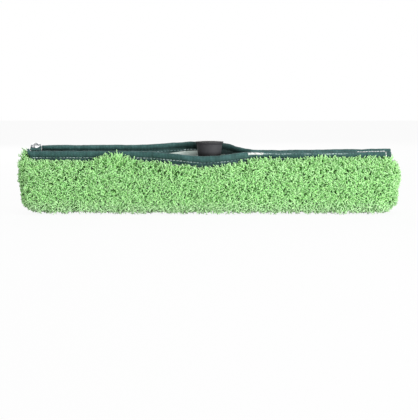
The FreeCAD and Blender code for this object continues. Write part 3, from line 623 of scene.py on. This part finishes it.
def strandTree(kinds, seed, spacing):
    # scatters the strands over a surface, each leaning with its neighbours and a little on its own
    tree = bpy.data.node_groups.new("pileScatter", "GeometryNodeTree")
    for side in ("INPUT", "OUTPUT"):
        tree.interface.new_socket("Geometry", in_out=side, socket_type="NodeSocketGeometry")
    add = partial(addNode, tree)
    ground = add("NodeGroupInput")
    points = add("GeometryNodeDistributePointsOnFaces",
                 {"distribute_method": "POISSON", "Distance Min": spacing,
                  "Density Max": pile["crowding"] / spacing ** 2, "Seed": seed},
                 Mesh=(ground, 0))
    way = add("GeometryNodeInputNamedAttribute", {"data_type": "FLOAT_VECTOR", "Name": "strandWay"})
    reach = add("GeometryNodeInputNamedAttribute", {"data_type": "FLOAT", "Name": "strandReach"})
    place = add("GeometryNodeInputPosition")
    locks = add("ShaderNodeTexNoise",
                {"Scale": perMm(pile["lockSize"]), "Detail": 2.0}, Vector=(place, 0))
    lockLean = add("ShaderNodeVectorMath",
                   {"operation": "SUBTRACT", 1: (0.5, 0.5, 0.5)}, input0=(locks, "Color"))
    lockLeanScaled = add("ShaderNodeVectorMath",
                         {"operation": "SCALE", "Scale": pile["lean"] * pile["leanGain"]},
                         input0=(lockLean, 0))
    most = pile["jitter"]
    ownLean = add("FunctionNodeRandomValue",
                  {"data_type": "FLOAT_VECTOR", 0: [-most] * 3, 1: [most] * 3, 8: seed + 1})
    lean = add("ShaderNodeVectorMath", {"operation": "ADD"},
               input0=(lockLeanScaled, 0), input1=(ownLean, 0))
    direction = add("ShaderNodeVectorMath", {"operation": "ADD"}, input0=(way, 0), input1=(lean, 0))
    aligned = add("FunctionNodeAlignRotationToVector", {"axis": "Z"}, Vector=(direction, 0))
    spin = add("FunctionNodeRandomValue",
               {"data_type": "FLOAT_VECTOR", 0: (0, 0, 0), 1: (0, 0, 2 * math.pi), 8: seed + 2})
    turned = add("FunctionNodeRotateRotation", {"rotation_space": "LOCAL"},
                 Rotation=(aligned, 0), Rotate_By=(spin, 0))
    kind = add("FunctionNodeRandomValue",
               {"data_type": "INT", 4: 0, 5: pile["kinds"] - 1, 8: seed + 3})
    thin, thick = pile["girths"]
    girth = add("FunctionNodeRandomValue", {"data_type": "FLOAT", 2: thin, 3: thick, 8: seed + 4})
    short, long = pile["lengths"]
    ownLength = add("FunctionNodeRandomValue",
                    {"data_type": "FLOAT", 2: short, 3: long, 8: seed + 5})
    length = add("ShaderNodeMath", {"operation": "MULTIPLY"},
                 input0=(reach, 0), input1=(ownLength, 1))
    size = add("ShaderNodeCombineXYZ", X=(girth, 1), Y=(girth, 1), Z=(length, 0))
    strands = add("GeometryNodeCollectionInfo", {0: kinds, 1: True, 2: True})
    placed = add("GeometryNodeInstanceOnPoints", {"Pick Instance": True},
                 Points=(points, "Points"), Instance=(strands, 0), Instance_Index=(kind, 2),
                 Rotation=(turned, 0), Scale=(size, 0))
    tone = add("FunctionNodeRandomValue", {"data_type": "FLOAT", 2: 0.0, 3: 1.0, 8: seed + 6})
    toned = add("GeometryNodeStoreNamedAttribute",
                {"data_type": "FLOAT", "domain": "INSTANCE", "Name": "strandTone"},
                Geometry=(placed, 0), Value=(tone, 1))
    real = add("GeometryNodeRealizeInstances", Geometry=(toned, 0))
    spot = add("GeometryNodeInputPosition")
    spotParts = add("ShaderNodeSeparateXYZ", input0=(spot, 0))
    floorLevel = add("ShaderNodeMath", {"operation": "MAXIMUM", 1: pile["floorGap"]},
                     input0=(spotParts, "Z"))
    pressed = add("ShaderNodeCombineXYZ", X=(spotParts, "X"), Y=(spotParts, "Y"), Z=(floorLevel, 0))
    settled = add("GeometryNodeSetPosition", Geometry=(real, 0), Position=(pressed, 0))
    add("NodeGroupOutput", input0=(settled, 0))
    return tree


def clearSlit(strands):
    # takes out whole strands that reach in between the bindings
    places = np.empty(3 * len(strands.data.vertices), dtype=np.float32)
    strands.data.vertices.foreach_get("co", places)
    x, y, z = places.reshape(-1, 3).T
    sameStation = 0.1 * mm
    walls = []
    for nodeName in ("front_binding", "rear_binding"):
        corners = np.array([vertex.co for vertex in cadNodes[nodeName].data.vertices])
        stations = np.unique(corners[:, 0].round(4))
        rows = [corners[abs(corners[:, 0] - station) < sameStation] for station in stations]
        walls.append((np.interp(x, stations, [row[:, 1].mean() for row in rows]),
                      np.interp(x, stations, [row[:, 2].min() for row in rows])))
    (frontY, frontLow), (rearY, rearLow) = walls
    across = np.clip((y - frontY) / (rearY - frontY), 0, 1)
    depth = np.minimum(y - frontY, rearY - y)
    edge = frontLow + across * (rearLow - frontLow)
    inside = (depth > 0) & (z > edge - pile["slitClear"] - pile["slitSlope"] * depth)
    low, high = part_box("front_binding")
    inside &= (x > low[0] + pile["slitStart"]) & (x < high[0] + pile["slitPast"])
    pickNothing(strands, "VERT")
    strands.data.vertices.foreach_set("select", inside)
    editMode()
    bpy.ops.mesh.select_linked()
    bpy.ops.mesh.delete(type="VERT")
    objectMode()


def growStrands(name, backing, kinds, seed, spacing, unwanted):
    strands = copyMesh(name, backing)
    deleteFaces(strands, unwanted)
    modifier = strands.modifiers.new("pileScatter", "NODES")
    modifier.node_group = strandTree(kinds, seed, spacing)
    bpy.ops.object.modifier_apply(modifier=modifier.name)
    clearSlit(strands)
    finishPiece(strands, "head", None)
    return strands


def makePile():
    backing = makeBacking()
    fibre = microfibrePile()
    kinds = bpy.data.collections.new("strandKinds")
    sources = [makeStrand(index) for index in range(pile["kinds"])]
    for strand in sources:
        strand.data.materials.append(fibre)
        kinds.objects.link(strand)
    grown = backing.data.attributes["strandReach"].data
    bare, tuft = set(), set()
    for face in backing.data.polygons:
        reaches = [grown[v].value for v in face.vertices]
        if any(reach == 0 for reach in reaches):
            bare.add(face.index)
        if all(reach > pile["tuftFrom"] for reach in reaches):
            tuft.add(face.index)
    end = cadBox[1][0]
    bay = 2 * end / pile["bays"]
    pieces = []
    for index in range(pile["bays"]):
        seed = pile["firstSeed"] + pile["seedStep"] * index
        pieces.append(growStrands(
            f"pileStrands{index + 1}", backing, kinds, seed, pile["spacing"],
            lambda face: face.index in bare or (face.center.x + end) // bay != index))
    pieces.append(growStrands("pileTuft", backing, kinds, pile["tuftSeed"], pile["tuftSpacing"],
                              lambda face: face.index not in tuft))
    for strand in sources:
        bpy.data.objects.remove(strand)
    bpy.data.collections.remove(kinds)
    finishPiece(backing, "head", knittedBacking(),
                ("pile_sleeve", "left_end_panel", "right_end_panel"))
    faces = [len(piece.data.polygons) for piece in pieces]
    print("pile:", faces, "faces in", len(pieces), "pieces")


# the bindings: copies of the CAD cloth, drawn in along their stitch line, softened and creased

tape = {
    "voxel": 0.6 * mm,
    "tabVoxel": 0.45 * mm,
    "closureFlat": (0.012, 0.015),  # the two tabs, laid out
    "studFlat": (0.012, 0.023),
    # the stitch line under the crown, along the sleeve
    "frontGroove": ((-0.22, 8.0 * mm), (0.22, 8.0 * mm)),
    "rearGroove": ((-0.22, 4.8 * mm), (-0.13, 5.2 * mm), (-0.06, 6.0 * mm), (0.22, 6.0 * mm)),
    "neckDrop": 8.0 * mm,  # where the solid narrows to its flat part
    "neckDepth": 1.1 * mm,
    "grooveWidth": 0.8 * mm,
    "grooveDepth": 0.75 * mm,
    "beadSwell": 0.6 * mm,
    "stitchPitch": 4.0 * mm,
    "puckerLeast": 0.6,  # the groove's depth between two stitches, of the depth at a stitch
    "foldSize": 22 * mm,
    "foldDepth": 1.5 * mm,
    "creaseSize": 6 * mm,
    "creaseDepth": 0.35 * mm,
    "ribSpacing": 0.6,  # millimetres
    # places along the rear tape, and how far its hem hangs down and laps over the lining there
    "rearHem": ((0.002, 0), (0.011, 9.5 * mm), (0.03, 8.5 * mm), (0.05, 4 * mm), (0.07, 0)),
    "rearLap": ((0.002, 0), (0.011, 3.3 * mm), (0.045, 3.3 * mm), (0.06, 0)),
    "hemDepth": 4 * mm,  # over which the hem is drawn out
    # painted shade in the stitch groove
    "grooveShade": 0.8,
    # places along the rear tape, and the painted shade under its bead
    "rearShade": ((-0.206, 1), (-0.178, 1), (-0.165, 0.5), (-0.06, 0.4), (-0.03, 0.4),
                 (-0.02, 0.9), (0.03, 1), (0.05, 0.3), (0.07, 0)),
    "shadeBlend": 1 * mm,
    # the same painted shade on the rear bead, by the socket
    "socketShade": ((-0.024, 0), (-0.018, 0.7), (0.02, 0.7), (0.036, 0)),
    "frontShade": 0.45,  # painted shade on the front bead's lower part
    "frontShadeStart": 0.4,  # of the way from its crown to the stitch line
    "noseLength": 3 * mm,  # the front tape's rounded left end
    "noseStart": 2 * mm,  # below its crown, and over how much depth it rounds
    "noseDepth": 7 * mm,
    "noseSpread": 3,  # nose lengths along the tape
    "colour": "#385f5c",
    "darkColour": "#294a48",
    "paleColour": "#527978",
    # the tint of the painted shade
    "shadeTint": "#7c8482",
}


def crownLine(piece):
    # gives the crown's height and the tape's middle at any place along it
    step = 2 * mm
    crowns, fronts, rears = {}, {}, {}
    for vertex in piece.data.vertices:
        key = round(vertex.co.x / step)
        crowns[key] = max(crowns.get(key, 0), vertex.co.z)
        fronts[key] = min(fronts.get(key, 1), vertex.co.y)
        rears[key] = max(rears.get(key, -1), vertex.co.y)
    first, last = min(crowns) + 1, max(crowns) - 1

    def lineAt(x):
        low = min(max(math.floor(x / step), first), last - 1)
        part = clamp(x / step - low)
        crown = crowns[low] + part * (crowns[low + 1] - crowns[low])
        middles = [(fronts[key] + rears[key]) / 2 for key in (low, low + 1)]
        return crown, middles[0] + part * (middles[1] - middles[0])

    return lineAt


def makeBinding(name, nodeName, material, groove):
    piece = copyNodes(name, nodeName)
    soften(piece, tape["voxel"], 2)
    lineAt = crownLine(piece)
    leftEnd = min(vertex.co.x for vertex in piece.data.vertices)
    paintedShades = []
    for vertex in piece.data.vertices:
        x = vertex.co.x
        crown, middle = lineAt(x)
        drop = crown - vertex.co.z
        side = 1 if vertex.co.y > middle else -1
        line = between(groove, x)
        pull = math.exp(-((drop - line) / tape["grooveWidth"]) ** 2)
        atStitch = abs(math.cos(math.pi * x / tape["stitchPitch"]))
        pucker = tape["puckerLeast"] + (1 - tape["puckerLeast"]) * atStitch
        swell = math.sin(math.pi * clamp(drop / (line - tape["grooveWidth"])))
        shift = tape["beadSwell"] * swell - tape["grooveDepth"] * pull * pucker
        if line < drop < tape["neckDrop"]:
            shift -= tape["neckDepth"] * (1 - pull)
        vertex.co.y += side * shift
        # painted shade: darker in the stitch groove, under the rear bead, beside the socket and on
        # the front bead's lower part
        soil = tape["grooveShade"] * pull
        if nodeName == "rear_binding":
            underBead = clamp((drop - line) / tape["shadeBlend"] + 1)
            rearShade = between(tape["rearShade"], x) * underBead
            soil = max(soil, rearShade, between(tape["socketShade"], x))
            hem = clamp((drop - tape["neckDrop"]) / tape["hemDepth"])
            vertex.co.y -= between(tape["rearLap"], x) * hem
            vertex.co.z -= between(tape["rearHem"], x) * hem
        else:
            start = tape["frontShadeStart"]
            soil = max(soil, tape["frontShade"] * clamp((drop / line - start) / (1 - start)))
            curve = clamp((drop - tape["noseStart"]) / tape["noseDepth"])
            nearEnd = max(1 - (x - leftEnd) / (tape["noseSpread"] * tape["noseLength"]), 0)
            vertex.co.x += tape["noseLength"] * (1 - math.sqrt(1 - curve ** 2)) * nearEnd
        paintedShades.append(soil)
    piece.data.attributes.new("soil", "FLOAT", "POINT").data.foreach_set("value", paintedShades)
    for kind in ("fold", "crease"):
        texture = cloudTexture(name + kind.title(), tape[kind + "Size"])
        applyModifier(piece, "DISPLACE", texture=texture, strength=tape[kind + "Depth"],
                      mid_level=0.5)
    finishPiece(piece, "head", material, (nodeName,))
    return piece


def makeTab(name, nodeName, body, material):
    piece = copyNodes(name, nodeName)
    soften(piece, tape["tabVoxel"], 2)
    finishPiece(piece, body, material, (nodeName,))
    return piece


lining = {
    "flat": (0.1223, 0.4348),  # round the sleeve's hollow and along it
    "gap": 7 * mm,  # between the cuts that let it crease
    # places along the sleeve, and how far the upper edge lies there above the CAD one
    "edgeRise": ((-0.22, 5.5 * mm), (-0.1, 6 * mm), (-0.068, 5.6 * mm), (-0.044, 4.2 * mm),
                 (-0.026, 3.3 * mm), (-0.01, 3.3 * mm), (0.004, 0), (0.032, 0), (0.07, 3 * mm)),
    "edgeDrop": 12 * mm,  # the upper edge below the rear tape's crown
    "edgeDepth": 12 * mm,  # over which the rise is taken up
    "foldSize": 14 * mm,
    "foldDepth": 0.7 * mm,
    "rightShadeStart": 4 * mm,  # places along the sleeve between which painted shade darkens it
    "rightShadeEnd": 12 * mm,
    "rightShadeTint": "#6f7a76",
    "colour": "#e6f1ea",
    "greyColour": "#c0d2c9",
}


def makeLining(rear):
    piece = copyNodes("sleeveLining", "sleeve_lining")
    low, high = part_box("sleeve_lining")
    for axis in (0, 2):
        line = Vector((axis == 0, 0, axis == 2))
        for step in range(1, int((high[axis] - low[axis]) / lining["gap"]) + 1):
            editAll(piece)
            cut = line * (low[axis] + step * lining["gap"])
            bpy.ops.mesh.bisect(plane_co=cut, plane_no=line)
            objectMode()
    lineAt = crownLine(rear)
    for vertex in piece.data.vertices:
        drop = lineAt(vertex.co.x)[0] - lining["edgeDrop"] - vertex.co.z
        share = clamp(1 - drop / lining["edgeDepth"])
        vertex.co.z += between(lining["edgeRise"], vertex.co.x) * share
    texture = cloudTexture("liningFolds", lining["foldSize"])
    applyModifier(piece, "DISPLACE", texture=texture, strength=lining["foldDepth"], mid_level=0.5,
                  direction="Y")
    finishPiece(piece, "head", cottonLining(), ("sleeve_lining",))


def makeCloth():
    material = polyesterTape()
    front = makeBinding("frontBinding", "front_binding", material, tape["frontGroove"])
    rear = makeBinding("rearBinding", "rear_binding", material, tape["rearGroove"])
    closure = makeTab("closureTab", "closure_tab", "tab", material)
    studTab = makeTab("studTab", "stud_tab", "head", material)
    makeLining(rear)
    print("cloth: bindings, tabs and lining")
    return front, rear


# stitches: one thread shape, copied along the tapes

stitch = {
    "length": 3.2 * mm,
    "radius": 0.55 * mm,
    "turnRadius": 0.75 * mm,  # the doubled thread at the right end
    "segments": 6,
    "rings": 5,
    "proud": 0.4,  # of its radius, how far a thread's middle lies off the cloth
    "sunk": 0.1 * mm,  # how far each one is drawn into the cloth
    "castFrom": 15 * mm,  # from where, beside a tape, its surface is looked for
    "frontStart": -212 * mm,  # the two long rows, along the sleeve
    "rearStart": -199 * mm,
    "rowEnd": 214 * mm,
    # the rear tape's row, on its flat part, along the sleeve
    "rearDrop": ((-0.01, 9.6 * mm), (0.005, 14.5 * mm), (0.06, 13.0 * mm), (0.08, 9.6 * mm)),
    "seamDrop": 2.4 * mm,  # the seam that shuts the slit, under the front crown
    "rearSeamDrop": 3.2 * mm,  # the same on the rear tape
    "seamPitch": 3.4 * mm,
    "seamStart": 66 * mm,
    "seamTurn": 177 * mm,  # where that seam climbs to the rear tape
    "seamEnd": 211 * mm,
    "endStitches": 3,  # down the front tape at the seam's end
    "endShift": 0.2,  # pitches by which the first one starts higher
    "tackStart": 46 * mm,
    "tackEnd": 63.5 * mm,
    "tackPitch": 0.7 * mm,
    "tackHeight": 0.9 * mm,  # half of the zigzag's
    "paleThread": ("#c4d9da", "#5f7f80"),  # clean and soiled
    "whiteThread": ("#fbfcfa", "#e3e8e5"),
}


def makeThread(name, length, radius):
    # a ball drawn out into a short round-ended thread
    bpy.ops.mesh.primitive_uv_sphere_add(segments=stitch["segments"], ring_count=stitch["rings"],
                                         radius=radius)
    thread = newest(name)
    half = length / 2 - radius
    pickNothing(thread, "VERT")
    for sign in (1, -1):
        for vertex in thread.data.vertices:
            vertex.select = vertex.co.z * sign > 0
        editMode()
        bpy.ops.transform.translate(value=(0, 0, sign * half))
        bpy.ops.mesh.select_all(action="DESELECT")
        objectMode()
    return thread


def onTape(piece, lineAt, x, drop, face):
    crown, middle = lineAt(x)
    start = Vector((x, middle + face * stitch["castFrom"], crown - drop))
    found, place, normal, _ = piece.ray_cast(start, Vector((0, -face, 0)))
    return (place, normal) if found else None


def sewAlong(name, thread, material, places):
    # places are (start, end) pairs of (point, normal) on the cloth
    lift = stitch["radius"] * stitch["proud"] - stitch["sunk"]
    copies = []
    for start, end in places:
        if not start or not end:
            continue
        copy = copyMesh(name, thread)
        along = (end[0] - start[0]).normalized()
        normal = (start[1] + end[1]).normalized()
        across = normal.cross(along).normalized()
        turn = Matrix((across, along.cross(across), along)).transposed().to_4x4()
        middle = (start[0] + end[0]) / 2 + normal * lift
        copy.data.transform(Matrix.Translation(middle) @ turn)
        copies.append(copy)
    finishPiece(joinAll(name, copies), "head", material)


def makeStitches(front, rear):
    bpy.context.view_layer.update()
    pale = spunThread("spun polyester thread, pale", *stitch["paleThread"])
    white = spunThread("spun polyester thread, white", *stitch["whiteThread"])
    frontLine, rearLine = crownLine(front), crownLine(rear)
    thread = makeThread("thread", stitch["length"], stitch["radius"])
    half, pitch = stitch["length"] / 2, tape["stitchPitch"]
    count = int(cadBox[1][0] / pitch)
    places = [(index + 0.5) * pitch for index in range(-count, count)]

    def along(piece, lineAt, x, drop, face):
        return tuple(onTape(piece, lineAt, x + side * half, drop, face) for side in (-1, 1))

    total = 0
    for name, piece, lineAt, drops, first in (
            ("frontStitches", front, frontLine, tape["frontGroove"], stitch["frontStart"]),
            ("rearStitches", rear, rearLine, stitch["rearDrop"], stitch["rearStart"])):
        rows = [along(piece, lineAt, x, between(drops, x), face)
                for x in places if first < x < stitch["rowEnd"] for face in (-1, 1)]
        sewAlong(name, thread, pale, rows)
        total += len(rows)
    seam, turned, x = [], [], stitch["seamStart"]
    while x < stitch["seamEnd"]:
        if x < stitch["seamTurn"]:
            seam.append(along(front, frontLine, x, stitch["seamDrop"], -1))
        else:
            turned.append(along(rear, rearLine, x, stitch["rearSeamDrop"], -1))
        x += stitch["seamPitch"]
    for step in range(stitch["endStitches"]):
        drop = stitch["seamDrop"] + (step - stitch["endShift"]) * stitch["seamPitch"]
        turned.append((onTape(front, frontLine, stitch["seamEnd"], drop - half, -1),
                       onTape(front, frontLine, stitch["seamEnd"], drop + half, -1)))
    sewAlong("seamStitches", thread, pale, seam)
    thick = makeThread("thick", stitch["length"], stitch["turnRadius"])
    sewAlong("seamTurn", thick, white, turned)
    tack, x, way = [], stitch["tackStart"], 1
    while x < stitch["tackEnd"]:
        drops = [stitch["seamDrop"] + sign * way * stitch["tackHeight"] for sign in (-1, 1)]
        tack.append((onTape(front, frontLine, x, drops[0], -1),
                     onTape(front, frontLine, x + stitch["tackPitch"], drops[1], -1)))
        x += stitch["tackPitch"]
        way = -way
    sewAlong("barTack", thread, white, tack)
    bpy.data.objects.remove(thread)
    bpy.data.objects.remove(thick)
    print("stitches:", total + len(seam) + len(turned) + len(tack))


# hard pieces keep their CAD shapes and take finishes

hard = {
    # plastics: colour, scuffed colour and roughness
    "grey": ("#353538", "#3d3d41", 0.68),
    "black": ("#1d1d1f", "#2c2c2f", 0.5),
    "disc": ("#dcdad2", "#c9c6bc", 0.4),
    # metals: colour, shaded colour, roughness and the size of the marks in millimetres
    # the plated brass's shaded colour paints dark reflections
    "plated": ("#e4e6e8", "#5a5d61", 0.16, 2.5),
    "zinc": ("#b9bbbf", "#96989c", 0.35, 2),
    "drawn": ("#c9cbcf", "#b4b6ba", 0.38, 1.2),
    # the grey socket's tints: painted shade low down, where it stands in the slit, and darker at
    # the rim
    "shadeDepth": 20 * mm,  # below the socket's rim, and the tints on the way up to it
    "shadeAndRimStops": ((0.25, "#4a4a4a"), (0.42, "#ffffff"), (0.93, "#ffffff"), (0.97, "#767676")),
}


def finishHardPieces():
    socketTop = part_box("pole_socket")[1][2]
    greyPlastic = mouldedPlastic("glass-filled nylon, dark grey", *hard["grey"], socketTop)
    blackPlastic = mouldedPlastic("polypropylene, black", *hard["black"])
    discPlastic = mouldedPlastic("acetal, natural", *hard["disc"])
    plated = metal("nickel-plated brass", *hard["plated"])
    zinc = metal("zinc-plated steel", *hard["zinc"])
    drawn = metal("drawn aluminium", *hard["drawn"])
    finishes = {
        greyPlastic: ["pole_socket"],
        blackPlastic: ["swivel_hub", "left_end_cap", "right_end_cap"],
        discPlastic: ["friction_discs"],
        plated: ["snap_cap", "snap_socket", "snap_stud", "snap_post"],
        zinc: ["pivot_bolt", "pivot_nut", "pivot_washers", "arm_rivets"],
        drawn: ["left_arm", "right_arm"],
    }
    for material, names in finishes.items():
        for name in names:
            cadNodes[name].data.materials.clear()
            cadNodes[name].data.materials.append(material)
    print("hard pieces:", sum(len(names) for names in finishes.values()))


# floor, light and camera

studio = {
    "viewDistance": 1.4,
    "viewHeight": 6.0,  # degrees above level
    "aim": (-0.0005, 0, 0.0040),
    "lens": 99.5,
    "sensor": 36,
    # each light's place, size and power
    "lights": {
        "keyLight": ((0.2, -0.6, 1.3), (1.0, 1.0), 6.4),
        "fillLight": ((1.3, -1.2, 0.2), (1.4, 0.36), 27),
        "backLight": ((-0.3, 1.5, 0.7), (1.4, 0.8), 9),
    },
    "lightAim": (0, 0, 0.04),
    "worldStrength": 0.43,
    "floorSize": 8,
    "floorColour": "#f4f4f4",
    "floorGlow": 0.93,
}


def seenRays(add):
    # 1 where the camera looks, also in a mirror or through glass, and 0 for the light on the part
    rays = add("ShaderNodeLightPath")
    seen = add("ShaderNodeMath", {"operation": "MAXIMUM"},
               input0=(rays, "Is Camera Ray"), input1=(rays, "Is Glossy Ray"))
    return add("ShaderNodeMath", {"operation": "MAXIMUM"},
               input0=(seen, 0), input1=(rays, "Is Transmission Ray"))


def makeFloor():
    bpy.ops.mesh.primitive_plane_add(size=studio["floorSize"], location=(0, 0, 0))
    floor = newest("floor")
    # even matt white, lit a little from within for the camera
    material, add = newMaterial("white paper sweep")
    seen = seenRays(add)
    share = add("ShaderNodeMath", {"operation": "MULTIPLY", 1: studio["floorGlow"]},
                input0=(seen, 0))
    paper = add("ShaderNodeBsdfDiffuse", {"Color": srgb(studio["floorColour"])})
    glow = add("ShaderNodeEmission", {"Color": srgb("#ffffff"), "Strength": 1.0})
    mixed = add("ShaderNodeMixShader", Fac=(share, 0), input1=(paper, 0), input2=(glow, 0))
    add("ShaderNodeOutputMaterial", Surface=(mixed, 0))
    floor.data.materials.append(material)


def makeWorld():
    world = bpy.data.worlds.new("studio")
    bpy.context.scene.world = world
    world.use_nodes = True
    world.node_tree.nodes.clear()
    add = partial(addNode, world.node_tree)
    seen = seenRays(add)
    lit = add("ShaderNodeBackground",
              {"Color": srgb("#ffffff"), "Strength": studio["worldStrength"]})
    shown = add("ShaderNodeBackground", {"Color": srgb("#ffffff"), "Strength": 1.0})
    mixed = add("ShaderNodeMixShader", Fac=(seen, 0), input1=(lit, 0), input2=(shown, 0))
    add("ShaderNodeOutputWorld", Surface=(mixed, 0))


def turnTo(obj, place, aim):
    obj.rotation_euler = (Vector(aim) - Vector(place)).to_track_quat("-Z", "Y").to_euler()


def makeStudio():
    makeFloor()
    makeWorld()
    for name, (place, size, power) in studio["lights"].items():
        bpy.ops.object.light_add(type="AREA", location=place)
        light = newest(name)
        light.data.shape = "RECTANGLE"
        light.data.size, light.data.size_y = size
        light.data.energy = power
        turnTo(light, place, studio["lightAim"])
    tilt = math.radians(studio["viewHeight"])
    back = Vector((0, -math.cos(tilt), math.sin(tilt)))
    place = Vector(studio["aim"]) + studio["viewDistance"] * back
    bpy.ops.object.camera_add(location=place)
    camera = newest("camera")
    turnTo(camera, place, studio["aim"])
    camera.data.lens = studio["lens"]
    camera.data.sensor_width = studio["sensor"]
    bpy.context.scene.camera = camera
    bpy.context.scene.view_settings.view_transform = "Standard"
    print("studio: floor, three lights and a camera")


makeStudio()
finishHardPieces()
makePile()
makeStitches(*makeCloth())
